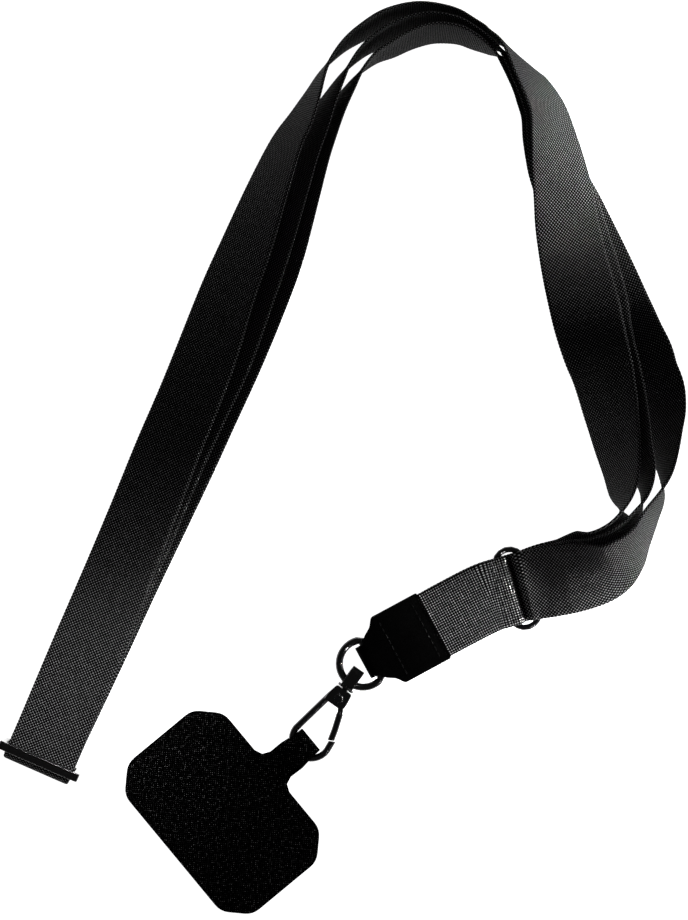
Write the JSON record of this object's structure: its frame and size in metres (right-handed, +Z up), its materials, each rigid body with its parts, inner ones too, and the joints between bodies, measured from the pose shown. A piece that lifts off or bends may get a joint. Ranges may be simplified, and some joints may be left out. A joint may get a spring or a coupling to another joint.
{
  "type": "phone crossbody strap",
  "caption": "Flat webbing crossbody strap laid in a loose curve, with a slider buckle, an oval ring, a leather tab, a swivel clasp and a flat patch that sits inside a phone case.",
  "frame": {"origin": "on the table under the middle of the laid strap's outline", "axes": "+Z up from the table, +Y towards the rounded far end of the laid loop, +X towards the oval ring's side"},
  "size_m": [0.2426, 0.322, 0.0271],
  "materials": {
    "black_webbing": "ribbed woven polyester, matt",
    "patch_weave": "fine coated weave, matt",
    "black_leather": "smooth, slight sheen",
    "black_nickel": "black nickel plating, polished"
  },
  "bodies": {
    "root": {"strap_webbing": "black_webbing", "slider": "black_nickel", "oval_ring": "black_nickel", "short_loop": "black_webbing", "d_ring": "black_nickel", "leather_tab": "black_leather", "swivel_eye": "black_nickel"},
    "hook": {"hook_body": "black_nickel", "phone_patch": "patch_weave"},
    "gate": {"gate": "black_nickel"}
  },
  "joints": [
    {"name": "swivel", "type": "hinge", "parent": "root", "child": "hook", "pos_m": [0.00196, -0.07965, 0.00331], "axis": [-0.5793, -0.8151, 0], "continuous": true},
    {"name": "gate_hinge", "type": "hinge", "parent": "hook", "child": "gate", "pos_m": [-0.00111, -0.08397, 0.00331], "axis": [0, 0, -1], "range_deg": [0, 25], "stiffness_Nm_per_rad": 0.02, "springref_deg": -22.92}
  ]
}
